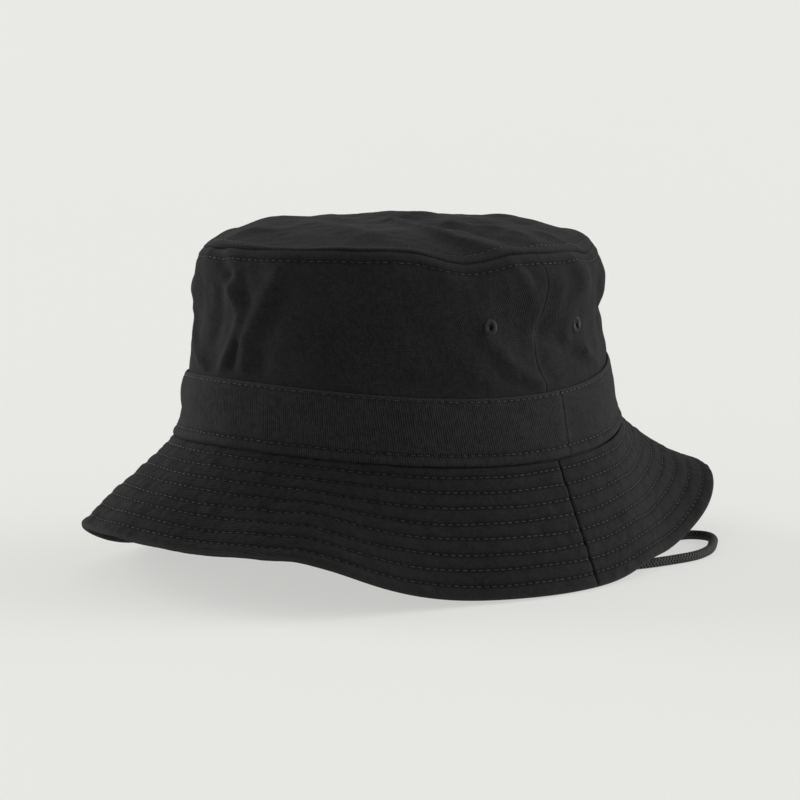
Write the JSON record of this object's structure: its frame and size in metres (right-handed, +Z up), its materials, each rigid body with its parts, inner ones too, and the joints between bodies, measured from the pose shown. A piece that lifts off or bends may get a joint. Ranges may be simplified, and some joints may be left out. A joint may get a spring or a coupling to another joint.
{
  "type": "bucket hat",
  "caption": "Cotton twill bucket hat with a soft crown, sewn-on band, stitched drooping brim, sweatband and a chin cord with a sliding spring lock.",
  "frame": {"origin": "centre of the head opening, at the mean height of the line where the crown is sewn to the brim", "axes": "+Z up out of the crown, +Y to the wearer's back, +X to the wearer's left"},
  "size_m": [0.2218, 0.2915, 0.1447],
  "materials": {
    "twill": "black cotton twill, matt, faint diagonal rib",
    "seam_tape": "black woven binding tape",
    "sweatband": "black plain-weave cotton, smooth",
    "label": "blank black satin-woven label",
    "interlining": "stiff non-woven interlining",
    "thread": "dark grey polyester sewing thread",
    "cord": "black round braided polyester cord",
    "lock_plastic": "moulded black nylon, fine texture",
    "lock_button": "moulded black acetal, satin",
    "spring_steel": "bright drawn spring wire"
  },
  "bodies": {
    "hat": {"crown_tip": "twill", "crown_wall_front": "twill", "crown_wall_back": "twill", "tip_seam_tape": "seam_tape", "side_seam_tape_left": "seam_tape", "side_seam_tape_right": "seam_tape", "hat_band": "twill", "sweatband": "sweatband", "back_label": "label", "brim_top_front": "twill", "brim_top_back": "twill", "brim_interlining_front": "interlining", "brim_interlining_back": "interlining", "brim_lining_front": "twill", "brim_lining_back": "twill", "eyelet_left_front": "thread", "eyelet_left_back": "thread", "eyelet_right_front": "thread", "eyelet_right_back": "thread", "cord_tab_left": "seam_tape", "cord_tab_right": "seam_tape", "chin_cord": "cord"},
    "cord_lock": {"cord_lock_body": "lock_plastic", "cord_lock_spring": "spring_steel"},
    "lock_button": {"cord_lock_plunger": "lock_button"}
  },
  "joints": [
    {"name": "lock_slide", "type": "slide", "parent": "hat", "child": "cord_lock", "axis": [0, 1, 0], "range_m": [0, 0.04]},
    {"name": "lock_press", "type": "slide", "parent": "cord_lock", "child": "lock_button", "axis": [-1, 0, 0], "range_m": [0, 0.003], "stiffness_N_per_m": 400, "deforming": ["cord_lock_spring"]}
  ]
}
